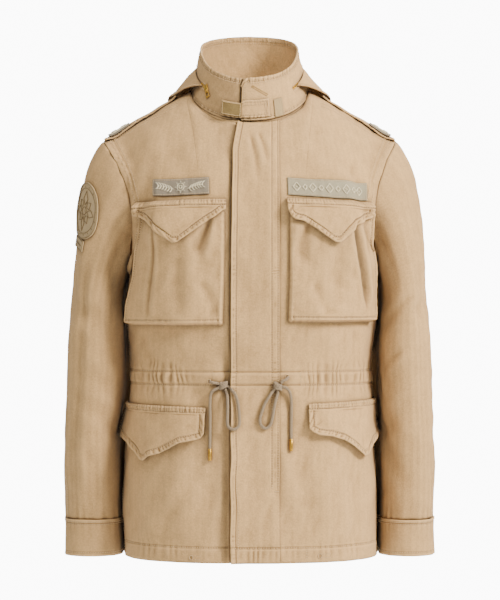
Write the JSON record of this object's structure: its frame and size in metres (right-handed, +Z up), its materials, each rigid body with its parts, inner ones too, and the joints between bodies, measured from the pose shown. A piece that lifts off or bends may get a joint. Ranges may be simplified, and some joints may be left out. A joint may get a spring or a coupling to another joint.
{
  "type": "field jacket",
  "caption": "Hip-length cotton field jacket, closed and filled out, with bellows pockets, stand collar, drawcord waist and a hood let out over the back.",
  "frame": {"origin": "middle of the neck at the height of the shoulders, where a wearer's neck and shoulders carry the jacket", "axes": "+Z up, the front faces -Y, +X is the wearer's left"},
  "size_m": [0.5914, 0.3183, 0.8352],
  "materials": {
    "twill": "washed cotton herringbone twill",
    "felt": "brushed hook and loop tape",
    "tape": "woven tape with flat embroidery",
    "cord": "round braided cotton cord",
    "brass": "satin brass"
  },
  "bodies": {
    "jacket": {"right_front": "twill", "left_front": "twill", "back": "twill", "right_sleeve": "twill", "left_sleeve": "twill", "right_cuff": "twill", "left_cuff": "twill", "collar": "twill", "collar_tab": "twill", "hood": "twill", "placket": "twill", "right_chest_pocket": "twill", "left_chest_pocket": "twill", "right_chest_flap": "twill", "left_chest_flap": "twill", "right_hip_flap": "twill", "left_hip_flap": "twill", "right_epaulette": "twill", "left_epaulette": "twill", "tab_felt": "felt", "collar_loop_patch": "felt", "right_chest_tape": "tape", "left_chest_tape": "tape", "right_strap_patch": "tape", "left_strap_patch": "tape", "sleeve_patch": "tape", "sleeve_patch_bar": "tape", "right_cord_stub": "cord", "right_cord_tail": "cord", "right_cord_loop": "cord", "left_cord_stub": "cord", "left_cord_tail": "cord", "left_cord_loop": "cord", "right_cord_knot": "cord", "left_cord_knot": "cord", "right_cord_end": "brass", "left_cord_end": "brass", "zip_slider": "brass"},
    "zip_pull": {"zip_pull": "brass"}
  },
  "joints": [
    {"name": "zip_pull_swing", "type": "hinge", "parent": "jacket", "child": "zip_pull", "pos_m": [-0.06757, -0.065, 0.00262], "axis": [-0.6744, 0.5733, -0.4653], "range_deg": [0, 110]}
  ]
}
